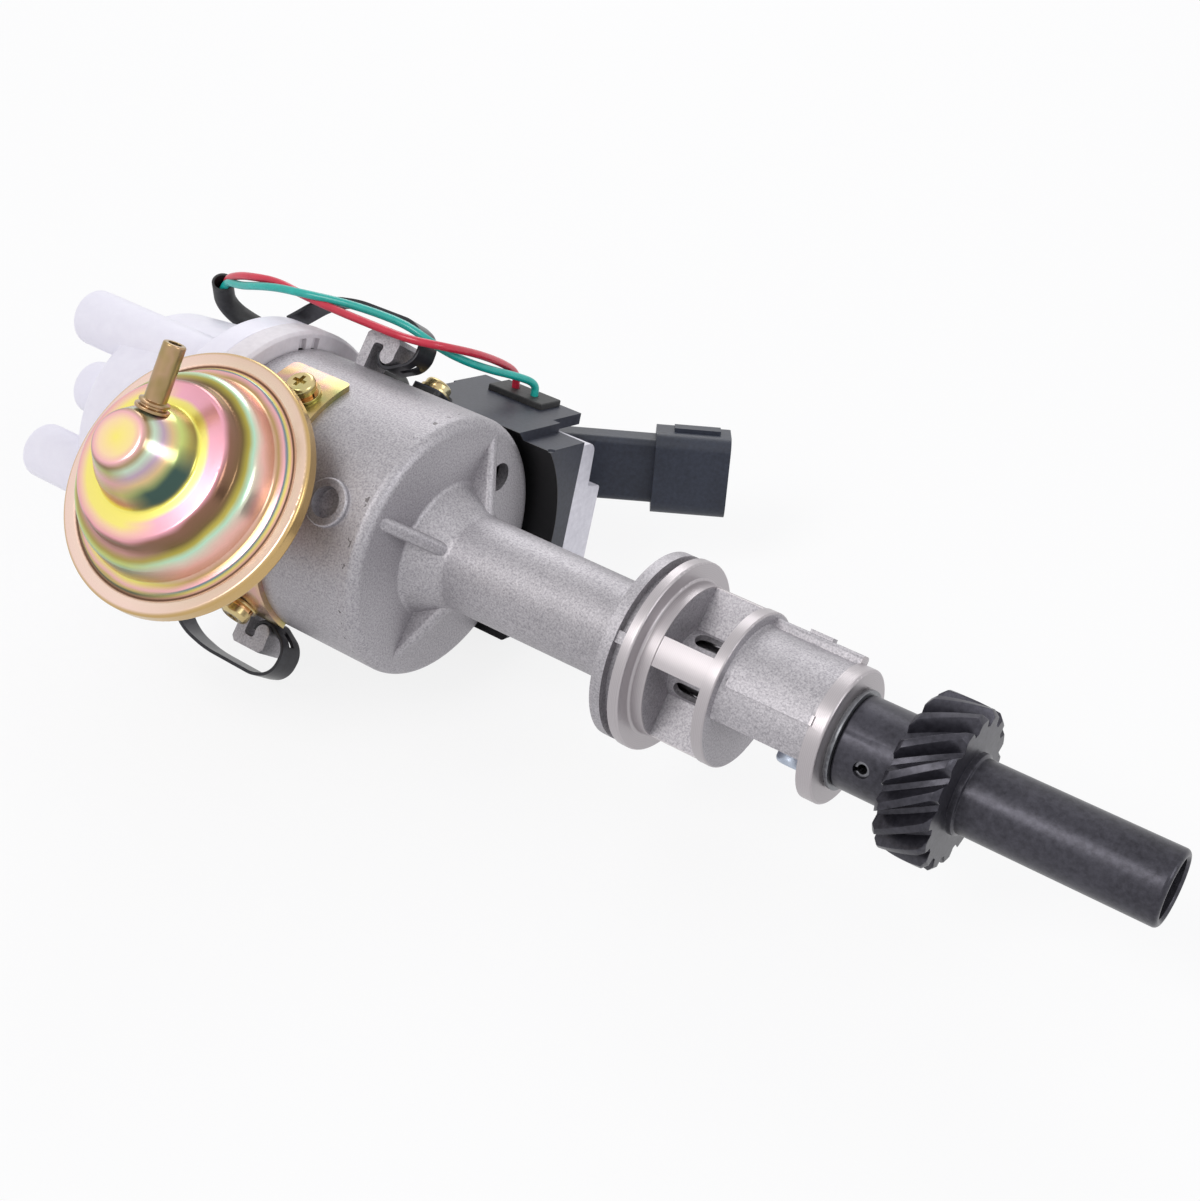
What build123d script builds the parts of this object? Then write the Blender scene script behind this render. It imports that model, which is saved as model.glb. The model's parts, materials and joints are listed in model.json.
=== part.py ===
from build123d import *
from math import atan2, cos, degrees, radians, sin, tan
import os

# Ignition distributor, in mm.
# X runs along the shaft towards the drive gear, with 0 on the seating face.
# Angles round the shaft start at -Y (towards the viewer) and rise towards +Z.

# Housing
bowl_r = 35.56
bowl_wall = 3.2
rim_x = -128.5
bowl_end_x = -71.5
bowl_floor = 3.2
bowl_edge = 3.0
shelf_x = -108.0
shelf_step = 1.1
hub_r = 18.2
hub_front_x = -62.7
neck_r = 12.72
gusset_step = 3.96
gusset_r = bowl_r - gusset_step
gusset_thick = 3.7
gusset_angles = (45, 135, 225, 315)
flange_back_x = -8.2
flange_r = 24.0
seat_r = 24.4
groove_x0, groove_x1 = -5.3, -2.7
groove_r = 21.5
pilot_r = 19.8
web_width = 7.5
web_relief = 0.25
window_x0, window_x1 = 3.8, 17.5
core_r = 9.2
slot_width = 4.4
pilot_end_x = 20.5
barrel_r = 16.5
barrel_flat = 9.0
flat_angle = -45
foot_x0, foot_x1 = 43.7, 47.7
foot_r = 16.8
relief_r = 7.6

# Shaft, bushes and drive gear
shaft_r = 6.35
running = 0.03
bush_r = 8.0
bush_length = 25.0
bush_flange_r = 11.6
bush_flange = 0.6
washer_r = 12.4
washer_thick = 0.9
end_play = 0.05
gear_hub_r = 11.4
gear_x0, gear_x1 = 64.1, 77.3
gear_r = pilot_r - 0.3
gear_root_r = 16.2
gear_teeth = 16
gear_twist = 28.0
gear_first_tooth = 77.0
gear_collar_r = 9.9
tube_r = 9.1
tube_bore_r = 7.1
tube_end_x = 125.8
tube_bore_x = 69.0
roll_pin_x, roll_pin_angle, roll_pin_r = 56.6, 17.6, 2.0

# Governor on the upper shaft
plate_x = -79.0
plate_thick = 2.0
governor_r = 24.0
pivot_at = 18.0
pivot_r = 2.0
drive_pin_at = 13.0
drive_pin_r = 1.3
weight_x = plate_x - plate_thick - 0.5
weight_thick = 3.6
advance_deg = 10.0
weight_deg = 15.0
spring_post = (19.5, -10.0)
post_r = 1.2

# Cam sleeve, reluctor and rotor
spindle_r = 4.0
sleeve_r = 7.4
sleeve_x0, sleeve_x1 = -86.4, -136.0
reluctor_x0, reluctor_x1 = -119.5, -123.0
reluctor_tip_r = 11.9
reluctor_teeth = 4
rotor_x0, rotor_x1 = -124.5, -147.6
blade_thick = 1.2

# Pickup
base_plate_thick = 2.0
pickup_r = 26.0
pickup_thick = 2.0
race_r = 10.4
stator_tip_r = 12.3
coil_outer_r = 14.6
foot_pin_at = 18.2
foot_pin_r = 1.6
plate_deg = 10.0

# Cap
ring_lip = 4.74
ring_r = bowl_r + ring_lip
ring_x = rim_x - 7.5
cap_flange_x = ring_x - 8.0
cap_flange_r = ring_r - 0.3
cap_neck_r = cap_flange_r - 5.4
cap_end_r = cap_neck_r - 3.6
cap_end_x = -176.0
cap_wall = 4.6
cap_cavity_r = cap_neck_r - cap_wall
cap_roof_thick = 10.0
cap_roof_x = cap_end_x + cap_roof_thick
tower_r = 7.75
tower_at = cap_end_r - 3.0
tower_angles = (85, 175, 265, -5)
tower_end_x = cap_end_x - 18.5
centre_end_x = cap_end_x - 28.8
socket_r = 4.2
electrode_r = 1.7
electrode_head_r, electrode_head = 3.2, 2.5

# Vacuum canister, on its own axis
can_angle = 53.3
can_x = -116.5
can_offset = -18.2
can_rim_r = 34.8
can_hub_r = 7.45
can_height = 38.8
sheet = 1.0
saddle_thick = 1.55
saddle_x0, saddle_x1 = -121.5, -102.5
saddle_phi0, saddle_phi1 = -35.5, 95
pan_gap = 0.39
pan_bottom = bowl_r + saddle_thick + pan_gap

# Cap clips
clip_width = 8.0
clip_thick = 0.9
pivot_x, pivot_d = -109.8, ring_r
lug_bar_r = 2.3
hook_r = 3.2
top_clip_angle, bottom_clip_angle = 134, -45

# Igniter on the far side
module_angle = 200
carrier_x0, carrier_x1 = -109.0, -63.7
carrier_top, carrier_bottom = -28.0, 29.0
saddle_gap_r = bowl_r + 1.84
carrier_outer = bowl_r + 8.24
sink_thick = 12.5
sink_outer = carrier_outer + sink_thick
lead_r = 1.1


def radial(phi):
    return Vector(0, -cos(radians(phi)), sin(radians(phi)))


def around(phi):
    return Vector(0, sin(radians(phi)), cos(radians(phi)))


def at(phi, x, d, t=0):
    """A point x along the shaft, d out at angle phi and t round from it."""
    return Vector(x, 0, 0) + radial(phi) * d + around(phi) * t


def side(phi, x=0, d=0, t=0):
    """A frame standing on the part: x along the shaft, y round it, z outwards."""
    return Plane(origin=at(phi, x, d, t), x_dir=(1, 0, 0), z_dir=radial(phi))


def flat(phi):
    """The plane through the shaft axis at angle phi: x along the shaft, y outwards."""
    return Plane(origin=(0, 0, 0), x_dir=(1, 0, 0), z_dir=-around(phi))


def outline(points, rounds=()):
    face = make_face(Polyline(*points, close=True))
    for index, radius in rounds:
        corner = face.vertices().sort_by_distance(points[index])[0]
        face = fillet(corner, radius)
    return face


def turned(points, rounds=()):
    """Turned on the shaft axis from (x, radius) points."""
    return revolve(outline(points, rounds), axis=Axis.X)


def spun(points, rounds=()):
    """Turned on the local z axis from (radius, height) points."""
    return revolve(Plane.XZ * outline(points, rounds), axis=Axis.Z)


def rod(x0, x1, r, y=0, z=0):
    return Plane(origin=(min(x0, x1), y, z), z_dir=(1, 0, 0)) * stud(r, abs(x1 - x0))


def pipe(x0, x1, r_out, r_in):
    return rod(x0, x1, r_out) - rod(x0, x1, r_in)


def stud(r, height):
    return Cylinder(r, height, align=(Align.CENTER, Align.CENTER, Align.MIN))


def block(x, y, z):
    return Box(x, y, z, align=(Align.CENTER, Align.CENTER, Align.MIN))


def sector(x0, x1, r0, r1, phi0, phi1):
    face = flat(phi1) * outline([(x0, r0), (x1, r0), (x1, r1), (x0, r1)])
    return revolve(face, axis=Axis.X, revolution_arc=phi1 - phi0)


def corner_radii(points, largest=40.0, part=0.45, end_part=0.62):
    """Arc radii that leave straight runs between the corners of a route."""
    runs = [(Vector(b) - Vector(a)) for a, b in zip(points, points[1:])]
    last = len(runs) - 1
    radii = []
    for k, (before, after) in enumerate(zip(runs, runs[1:])):
        half_turn = radians(before.get_angle(after)) / 2
        room_before = before.length * (end_part if k == 0 else part)
        room_after = after.length * (end_part if k + 1 == last else part)
        radii.append(min(largest, min(room_before, room_after) / tan(half_turn)))
    return radii


def routed(points, r, name, r_in=0.0):
    path = FilletPolyline(*points, radius=corner_radii(points))
    start = Plane(origin=path @ 0, z_dir=path % 0)
    tube = sweep(start * Circle(r), path=path)
    if r_in:
        tube -= sweep(start * Circle(r_in), path=path)
    smallest = min(corner_radii(points))
    print(name, "length", round(path.length, 1), "smallest arc", round(smallest, 1))
    return tube


def pan_screw(head_r, head_height, shank_r, length):
    """Pan head with a cross recess, its underside at z 0."""
    head = fillet(stud(head_r, head_height).edges().group_by(Axis.Z)[-1], head_height * 0.45)
    cross = block(head_r, 1.1, 1.4) + block(1.1, head_r, 1.4)
    return head - Pos(0, 0, head_height - 1.3) * cross + Pos(0, 0, -length) * stud(shank_r, length)


nodes = {}

# Housing: bowl, hub, neck, two flanges and pilot, then the barrel and its foot
bowl_floor_x = bowl_end_x - bowl_floor
bowl_in_r = bowl_r - bowl_wall
housing = turned(
    [(rim_x, 0), (rim_x, bowl_r), (bowl_end_x, bowl_r), (bowl_end_x, hub_r),
     (hub_front_x, neck_r + 0.2), (flange_back_x, neck_r), (flange_back_x, flange_r),
     (groove_x0, flange_r), (groove_x0, groove_r), (groove_x1, groove_r),
     (groove_x1, seat_r), (0, seat_r), (0, pilot_r), (window_x0, pilot_r),
     (window_x0, core_r), (window_x1, core_r), (window_x1, pilot_r),
     (pilot_end_x, pilot_r), (pilot_end_x, barrel_r + 0.5), (pilot_end_x + 1.2, barrel_r),
     (foot_x0, barrel_r - 0.15), (foot_x0, foot_r), (foot_x1, foot_r), (foot_x1, 0)],
    rounds=((2, bowl_edge), (3, 1.5), (4, 4.0), (5, 1.2), (11, 0.6), (12, 0.7), (17, 0.5), (22, 0.7)))
webs = Part()
for angle in (-45, 45, 135, 225):
    webs += side(angle, (window_x0 + window_x1) / 2) * block(window_x1 - window_x0, web_width, pilot_r)
housing += webs & rod(window_x0, window_x1, pilot_r - web_relief)
gusset = outline([(bowl_end_x - 1, 10), (bowl_end_x - 1, gusset_r), (bowl_end_x, gusset_r),
                  (hub_front_x, neck_r), (hub_front_x, 10)])
for angle in gusset_angles:
    rib = extrude(flat(angle) * gusset, gusset_thick / 2, both=True)
    crest = rib.edges().filter_by(lambda e: e.length > 15).sort_by_distance(at(angle, -60, 30))[:2]
    housing += fillet(crest, gusset_thick * 0.4)
housing += side(46, 33) * block(22.4, 2.4, barrel_r + 0.8) - rod(20, 45, core_r)
ridge_len = foot_x0 - pilot_end_x
ridge = side(134, pilot_end_x + ridge_len / 2) * block(ridge_len, 4.6, 18.6)
ridge = fillet(ridge.edges().filter_by(Axis.X).sort_by_distance(at(134, 32, 22))[:2], 1.2)
ridge += side(134, pilot_end_x + ridge_len / 2, 17.6) * block(6.0, 3.0, 1.8)
housing += ridge - rod(20, 45, core_r)
flat_cut = side(flat_angle, (pilot_end_x + foot_x0) / 2, barrel_flat)
housing -= flat_cut * block(foot_x0 - pilot_end_x, 30, 12)
housing += side(43, (groove_x0 + groove_x1) / 2, groove_r - 1) * block(3.2, 3.0, 2.7)

# The lugs that the cap clips hook on, each a C with a round bar at its tip
lug_root = bowl_r - 1.5 - pivot_d
lug = outline([(-8.6, lug_root), (-5.4, lug_root), (-5.4, 2.1), (-2.4, 2.3), (-1.6, 0), (2.2, 0), (2.5, 3.9),
               (1.4, 5.2), (-7.4, 5.2), (-8.6, 4.0)], rounds=((2, 1.0), (3, 1.0), (6, 0.6), (9, 0.5)))
lug = Pos(pivot_x, pivot_d) * (lug + Circle(lug_bar_r))
for angle in (top_clip_angle, bottom_clip_angle):
    housing += extrude(flat(angle) * lug, clip_width / 2 + 0.7, both=True)

# Inside of the bowl, with a shelf for the fixed plate, and the bore of the neck
housing -= rod(rim_x, shelf_x, bowl_in_r) + rod(shelf_x, bowl_floor_x, bowl_in_r - shelf_step)
housing -= rod(bowl_floor_x, foot_x1, relief_r)
housing -= rod(bowl_floor_x, bowl_floor_x + bush_length, bush_r)
housing -= rod(foot_x1 - bush_length, foot_x1, bush_r)
slot = extrude(SlotOverall(window_x1 - window_x0 - 3.7, slot_width), core_r + 4)
for angle in (0, 90, 180, 270):
    housing -= side(angle, (window_x0 + window_x1) / 2 - 0.1) * slot

# Three pads inside the bowl that the fixed plate is screwed to
base_screw_angles = (25, 145, 265)
pad_r = bowl_in_r - 3.96
pad_len = weight_x - weight_thick - 2.0 - shelf_x
for angle in base_screw_angles:
    pad = side(angle, shelf_x + pad_len / 2) * block(pad_len, 7, bowl_r - 1)
    housing += pad - rod(shelf_x - 1, shelf_x + pad_len + 1, pad_r - 3)
    c = at(angle, 0, pad_r)
    housing -= rod(shelf_x, shelf_x + 12, 1.45, c.Y, c.Z)

# Blind boss on the bowl, round vent in the end wall, oil hole behind the plug
boss_angle, boss_x, boss_hole_r = 43.3, -85.5, 4.0
boss = side(boss_angle, boss_x, bowl_r - 2) * stud(boss_hole_r + 2.2, 3.2)
housing += fillet(boss.edges().sort_by_distance(at(boss_angle, boss_x, 2 * bowl_r))[0], 0.6)
housing -= side(boss_angle, boss_x, bowl_r - 2.2) * stud(boss_hole_r, 8)
vent = at(156.5, 0, bowl_r - 10.7)
vent_r = 3.9
housing -= rod(bowl_floor_x - 1, bowl_end_x + 1, vent_r, vent.Y, vent.Z)
plug_x = 38.0
housing -= side(flat_angle, plug_x, bush_r - 1) * stud(2.5, 3)

# Rod slot under the canister, screw holes and lead grommet hole in the bowl wall
can = side(can_angle, can_x, 0, can_offset)
housing -= can * Pos(0, 0, 15) * block(5.0, 9.0, 20)
bracket_screw_at = ((79.6, -109.8), (-25, -113.5))
module_screw_at = ((149.5, -101.3), (250.5, -101.3))
for angle, x in bracket_screw_at + module_screw_at:
    housing -= side(angle, x, 28) * stud(2.0, 12)
lead_angle, lead_x = 171, -121.0
housing -= side(lead_angle, lead_x, 28) * stud(4.2, 12)
nodes["housing"] = housing

# Bushes, plug and washers
upper_bush = pipe(bowl_floor_x, bowl_floor_x + bush_length, bush_r, shaft_r + running)
upper_bush += pipe(bowl_floor_x - 1.2, bowl_floor_x, 10.5, shaft_r + running)
nodes["upper_bushing"] = upper_bush
lower_bush = pipe(foot_x1 - bush_length, foot_x1, bush_r, shaft_r + running)
lower_bush += pipe(foot_x1, foot_x1 + bush_flange, bush_flange_r, shaft_r + running)
nodes["lower_bushing"] = lower_bush
plug = side(flat_angle, plug_x, barrel_flat) * stud(4.25, 2.75)
plug = fillet(plug.edges().sort_by_distance(at(flat_angle, plug_x, 14))[0], 1.4)
plug += side(flat_angle, plug_x, bush_r + 0.1) * stud(2.48, 1.2)
nodes["gallery_plug"] = plug
washer_x = foot_x1 + bush_flange + end_play
nodes["thrust_washer"] = pipe(washer_x, washer_x + washer_thick, washer_r, shaft_r + 0.05)
shim_x = bowl_floor_x - 1.2 - end_play
nodes["upper_shim"] = pipe(shim_x - 0.8, shim_x, 10.2, shaft_r + 0.05)

# Drive shaft, stepped down above the governor plate
hub_x = washer_x + washer_thick + end_play
spindle_end_x = -128.0
shaft = turned([(tube_bore_x - 1.5, 0), (tube_bore_x - 1.5, shaft_r), (plate_x - plate_thick, shaft_r),
                (plate_x - plate_thick, spindle_r), (spindle_end_x, spindle_r), (spindle_end_x, 0)],
               rounds=((1, 0.8),))
shaft -= side(roll_pin_angle, roll_pin_x, -12) * stud(roll_pin_r + 0.02, 24)
shaft -= rod(spindle_end_x, spindle_end_x + 9, 2.5)
nodes["drive_shaft"] = shaft

# Drive gear: hub, helical teeth and socket tube in one piece
flank_r = (gear_root_r + gear_r) / 2 + 0.3
tooth = make_face([Line((gear_root_r - 1, -2.5), (gear_root_r, -2.35)),
                   ThreePointArc((gear_root_r, -2.35), (flank_r, -1.65), (gear_r + 0.1, -0.95)),
                   Line((gear_r + 0.1, -0.95), (gear_r + 0.1, 0.95)),
                   ThreePointArc((gear_r + 0.1, 0.95), (flank_r, 1.65), (gear_root_r, 2.35)),
                   Line((gear_root_r, 2.35), (gear_root_r - 1, 2.5)),
                   Line((gear_root_r - 1, 2.5), (gear_root_r - 1, -2.5))])
wheel = Circle(gear_root_r) + [Rot(0, 0, 180 - gear_first_tooth + k * 360 / gear_teeth) * tooth
                               for k in range(gear_teeth)]
section = (Plane.YZ.offset(gear_x0) * wheel).face()
teeth = Solid.extrude_linear_with_rotation(section, center=(gear_x0, 0, 0),
                                           normal=(gear_x1 - gear_x0, 0, 0), angle=-gear_twist)
chamfered = turned([(gear_x0, 0), (gear_x0, gear_root_r + 2), (gear_x0 + 1.2, gear_r),
                    (gear_x1 - 1.2, gear_r), (gear_x1, gear_root_r + 2), (gear_x1, 0)])
gear = Part() + (teeth & chamfered)
gear += turned([(hub_x, 0), (hub_x, gear_hub_r), (gear_x0 + 1, gear_hub_r), (gear_x0 + 1, 0)],
               rounds=((1, 0.7),))
gear += turned([(gear_x1 - 1, 0), (gear_x1 - 1, gear_collar_r + 1.2), (gear_x1, gear_collar_r + 1.2),
                (gear_x1 + 0.2, gear_collar_r), (gear_x1 + 1.5, gear_collar_r), (gear_x1 + 1.8, tube_r),
                (tube_end_x, tube_r), (tube_end_x, 0)], rounds=((6, 1.2),))
gear_bore_r = shaft_r + 0.01
gear -= turned([(hub_x, 0), (hub_x, gear_bore_r), (tube_bore_x, gear_bore_r),
                (tube_bore_x + 1.3, tube_bore_r), (tube_end_x - 0.6, tube_bore_r),
                (tube_end_x, tube_bore_r + 0.6), (tube_end_x, 0)])
gear -= side(roll_pin_angle, roll_pin_x, -12) * stud(roll_pin_r + 0.02, 24)
nodes["drive_gear"] = gear
pin_length = 2 * gear_hub_r - 1.6
roll_pin = stud(roll_pin_r, pin_length) - stud(roll_pin_r - 0.8, pin_length)
roll_pin -= Pos(1, 0, 0) * block(3, 0.9, pin_length)
nodes["gear_roll_pin"] = side(roll_pin_angle, roll_pin_x, -pin_length / 2) * Rot(0, 0, 200) * roll_pin

# Governor: plate pressed on the shaft, two weights on pins, link plate on the sleeve
governor = pipe(plate_x - plate_thick, plate_x, governor_r, shaft_r + 0.01)
governor += pipe(plate_x, shim_x - 0.8 - end_play, 9.8, shaft_r + 0.01)
post_end_x = sleeve_x0 - 5.8
for turn in (0, 180):
    spin = Rot(turn, 0, 0)
    governor += spin * rod(plate_x - plate_thick, weight_x - weight_thick - 0.6, pivot_r, pivot_at, 0)
    governor += spin * rod(plate_x - plate_thick, post_end_x, post_r, *spring_post)
nodes["governor_plate"] = governor
weight_face = make_hull(((Pos(pivot_at, 0) * Circle(4.5)).edges() + (Pos(8, 13) * Circle(5.5)).edges()
                         + (Pos(-8, 16) * Circle(4.5)).edges()))
swing = atan2(8.29 - 13, -0.52)
weight_slot = Pos(-0.26, 10.65) * Rot(0, 0, degrees(swing)) * SlotOverall(4.74 + 3.3, 3.3)
weight_face = weight_face - weight_slot - Pos(pivot_at, 0) * Circle(pivot_r + running)
weight = extrude(Plane.YZ.offset(weight_x - weight_thick) * weight_face, weight_thick)
nodes["advance_weight_a"] = weight
nodes["advance_weight_b"] = Rot(180, 0, 0) * weight

# Cam sleeve with its link plate, drive pins and keyway
link_face = make_hull((Circle(9.5).edges() + (Pos(0, drive_pin_at) * Circle(3.2)).edges()
                       + (Pos(0, -drive_pin_at) * Circle(3.2)).edges()))
link_thick = 1.9
link = extrude(Plane.YZ.offset(sleeve_x0 - link_thick) * link_face, link_thick)
cam = link + rod(sleeve_x0, sleeve_x1, sleeve_r)
for turn in (0, 180):
    cam += Rot(turn, 0, 0) * rod(weight_x - 0.4, post_end_x, drive_pin_r, 0, drive_pin_at)
cam -= rod(sleeve_x0, -128.4, spindle_r + running)
cam -= rod(-128.4, sleeve_x1, 5.6)
cam -= Plane(origin=(sleeve_x1, 0, sleeve_r), z_dir=(1, 0, 0)) * block(2.0, 1.6, 8.0)
nodes["cam_sleeve"] = cam
screw = turned([(-128.5, 0), (-128.5, 5.2), (-130.9, 5.2), (-130.9, 0)], rounds=((2, 0.8),))
screw -= Plane(origin=(-130.9, 0, 0), z_dir=(1, 0, 0)) * block(1.0, 12, 1.1)
nodes["sleeve_screw"] = screw + rod(-128.5, -128.0, 2.48) + rod(-128.0, spindle_end_x + 8.5, 2.48)

# Two close-wound governor springs, hooked between a plate post and a drive pin
spring_a = Vector(post_end_x + 1.6, spring_post[0], spring_post[1])
spring_b = Vector(post_end_x + 1.6, 0, -drive_pin_at)
spring_dir = (spring_b - spring_a).normalized()
spring_len = (spring_b - spring_a).length
coils = 11
coil_run = spring_len - 7.0
coil_profile = [(0, 0)]
for k in range(coils):
    coil_profile += [(k * coil_run / coils, 1.15), ((k + 0.5) * coil_run / coils, 1.6)]
coil_profile += [(coil_run, 1.15), (coil_run, 0)]
body = revolve(make_face(Polyline(*coil_profile, close=True)), axis=Axis.X)
coil_plane = Plane(origin=spring_a + spring_dir * 3.5, x_dir=spring_dir, z_dir=(1, 0, 0))
spring = coil_plane * body
for centre, pin, sense in ((spring_a, post_r, 1), (spring_b, drive_pin_r, -1)):
    hook = Pos(centre) * Rot(0, 90, 0) * (stud(pin + 0.8, 0.7) - stud(pin + 0.12, 0.7))
    hook = Pos(-0.35, 0, 0) * hook
    shank_start = centre + spring_dir * sense * (pin + 0.4)
    shank = Plane(origin=shank_start, z_dir=spring_dir * sense) * stud(0.35, 3.6 - pin)
    spring += hook + shank
nodes["governor_springs"] = Compound(children=[spring.solid(), (Rot(180, 0, 0) * spring).solid()])

# Reluctor, its key pin, and the rotor arm with its blade
star = Circle(9.3)
for k in range(reluctor_teeth):
    star += Rot(0, 0, 22 + k * 360 / reluctor_teeth) * Pos(reluctor_tip_r / 2 + 1, 0) * Rectangle(
        reluctor_tip_r - 2, 3.2)
star = (star & Circle(reluctor_tip_r)) - Circle(sleeve_r + 0.01)
nodes["reluctor"] = extrude(Plane.YZ.offset(reluctor_x1) * star, reluctor_x0 - reluctor_x1)
arm = pipe(rotor_x0, -138.0, 10.5, sleeve_r + 0.02)
arm += turned([(-136.6, 0), (-136.6, 10.5), (-143.0, 10.5), (rotor_x1, 8.2), (rotor_x1, 0)])
arm_face = make_hull((Circle(8.0).edges() + (Pos(19, 0) * Circle(3.6)).edges()
                      + (Pos(-11, 0) * Circle(3.0)).edges()))
arm_angle = 180 - 85
arm += extrude(Plane.YZ.offset(rotor_x1) * Rot(0, 0, arm_angle) * arm_face, 3.2)
arm += Plane(origin=(sleeve_x1, 0, sleeve_r - 0.05), z_dir=(1, 0, 0)) * block(1.9, 1.4, 7.6)
nodes["rotor_arm"] = arm
rotor_reach = tower_at - electrode_r - 0.4
blade_face = make_hull((Circle(4.0).edges() + (Pos(rotor_reach - 2.6, 0) * Circle(2.6)).edges()))
blade = extrude(Plane.YZ.offset(rotor_x1 - blade_thick) * Rot(0, 0, arm_angle) * blade_face, blade_thick)
nodes["rotor_blade"] = blade

# Fixed base plate on the bowl's shelf, with the race that the pickup plate turns on
base_x = shelf_x - base_plate_thick
clip_x = base_x - 3.65
base = pipe(base_x, shelf_x, bowl_in_r - 0.1, 9.0)
base += pipe(base_x - 4.6, base_x, race_r, 9.0)
base -= pipe(clip_x - 0.65, clip_x + 0.05, race_r + 1, race_r - 0.5)
base_screws = []
for angle in base_screw_angles:
    c = at(angle, 0, pad_r)
    base -= rod(base_x, shelf_x, 1.6, c.Y, c.Z)
    head = Plane(origin=(base_x, c.Y, c.Z), z_dir=(-1, 0, 0)) * pan_screw(2.8, 1.2, 1.42, 10)
    base_screws.append(head.solid())
nodes["base_plate"] = base
nodes["base_plate_screws"] = Compound(children=base_screws)

# Pickup: turning plate with its foot pin, circlip, coil, ring magnet and toothed stator
pickup_x = base_x - 1.5
pickup = pipe(pickup_x - pickup_thick, pickup_x, pickup_r, race_r + running)
pickup += pipe(pickup_x, base_x - 0.05, race_r + 3, race_r + running)
for angle in base_screw_angles:
    pickup -= sector(pickup_x - pickup_thick, pickup_x, pad_r - 4.5, pickup_r + 1, angle - 15, angle + 15)
foot_angle = can_angle - 90 - plate_deg / 2
c = at(foot_angle, 0, foot_pin_at)
pickup += rod(pickup_x - pickup_thick, pickup_x - 6.6, foot_pin_r, c.Y, c.Z)
nodes["pickup_plate"] = pickup
nodes["plate_circlip"] = (sector(clip_x - 0.55, clip_x, race_r - 0.45, race_r + 1.3, 20, 340))
coil_x = pickup_x - pickup_thick
coil = turned([(coil_x, 12.2), (coil_x, coil_outer_r), (coil_x - 3.9, coil_outer_r),
               (coil_x - 3.9, 9.0), (coil_x - 1.3, 9.0), (coil_x - 1.3, 12.2)])
nodes["pickup_coil"] = coil
magnet_x = coil_x - 3.9
nodes["ring_magnet"] = pipe(magnet_x - 1.6, magnet_x, coil_outer_r, 9.0)
stator_face = Circle(17.0) - Circle(14.2)
for k in range(reluctor_teeth):
    stator_face += Rot(0, 0, 22 + k * 90) * (Pos(14.4, 0) * Rectangle(2 * (14.4 - stator_tip_r), 3.4))
stator = extrude(Plane.YZ.offset(magnet_x - 3.8) * stator_face, 2.2)
stator -= rod(-110, -130, stator_tip_r)
nodes["stator"] = stator

# Cap seat ring between the bowl and the cap
ring = turned([(rim_x, cap_cavity_r + 0.4), (rim_x, bowl_r - 0.6), (rim_x - 0.5, bowl_r - 0.6),
               (rim_x - 0.5, ring_r - 0.9),
               (rim_x - 1.4, ring_r), (ring_x, ring_r), (ring_x, 33.6), (ring_x + 2.4, 33.6),
               (ring_x + 2.4, cap_cavity_r + 0.4)])
ring += pipe(rim_x, rim_x + 2.2, bowl_in_r - 0.1, cap_cavity_r + 0.4)
for angle in (111, 119):
    ring -= side(angle, rim_x - 0.3, bowl_r - 2.4) * block(3.4, 2.6, 5.1)
nodes["cap_seat_ring"] = ring

# Cap with four ring towers and a centre tower
cap = turned([(ring_x, 0), (ring_x, cap_flange_r), (cap_flange_x, cap_flange_r), (cap_flange_x, cap_neck_r),
              (cap_end_x, cap_end_r), (cap_end_x, 0)], rounds=((1, 0.8), (2, 1.2), (3, 1.5), (4, 3.0)))
cap += pipe(ring_x, ring_x + 2.2, 33.4, cap_cavity_r)


def tower(y, z, end_x, start_x):
    column = Plane(origin=(start_x, y, z), z_dir=(-1, 0, 0)) * stud(tower_r, start_x - end_x)
    return fillet(column.edges().group_by(Axis.X)[0], 2.2)


tower_points = [at(angle, 0, tower_at) for angle in tower_angles]
for c in tower_points:
    cap += tower(c.Y, c.Z, tower_end_x, cap_flange_x + 1)
cap += tower(0, 0, centre_end_x, cap_end_x + 1)
for angle in (top_clip_angle, bottom_clip_angle):
    cap -= side(angle, cap_flange_x, cap_flange_r - 0.9) * block(3.0, clip_width + 1.5, 3)
cap -= rod(ring_x, cap_roof_x, cap_cavity_r)
guide_x = cap_roof_x + 6.5
cap += rod(cap_roof_x, guide_x, 5.5)
socket_floor_x = cap_end_x + 3.0
for c in tower_points:
    cap -= rod(tower_end_x, socket_floor_x - electrode_head, socket_r, c.Y, c.Z)
    cap -= rod(socket_floor_x - electrode_head, socket_floor_x, electrode_head_r, c.Y, c.Z)
    cap -= rod(socket_floor_x, cap_roof_x, electrode_r, c.Y, c.Z)
centre_floor_x = cap_end_x - 2.0
cap -= rod(centre_end_x, centre_floor_x - electrode_head, socket_r)
cap -= rod(centre_floor_x - electrode_head, centre_floor_x, electrode_head_r)
brush_r = 2.0
cap -= rod(centre_floor_x, guide_x, brush_r + 0.1)
nodes["distributor_cap"] = cap
electrode_tip_x = rotor_x1 + 1.0
side_electrodes = []
for c in tower_points:
    pin = rod(socket_floor_x - electrode_head, socket_floor_x, electrode_head_r, c.Y, c.Z)
    pin += rod(socket_floor_x, electrode_tip_x, electrode_r, c.Y, c.Z)
    side_electrodes.append(pin.solid())
nodes["side_electrodes"] = Compound(children=side_electrodes)
centre_pin_x = cap_end_x + 4.5
nodes["centre_electrode"] = (rod(centre_floor_x - electrode_head, centre_floor_x, electrode_head_r)
                             + rod(centre_floor_x, centre_pin_x, brush_r + 0.1))
brush_tip_x = rotor_x1 - blade_thick - 0.3
brush_x = cap_roof_x + 3.5
nodes["carbon_brush"] = rod(brush_x, brush_tip_x, brush_r)
spring_wire = 0.3
brush_helix = Helix(pitch=1.5, height=brush_x - centre_pin_x - 2 * spring_wire - 0.1, radius=1.45)
wire_start = Plane(origin=brush_helix @ 0, z_dir=brush_helix % 0)
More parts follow.
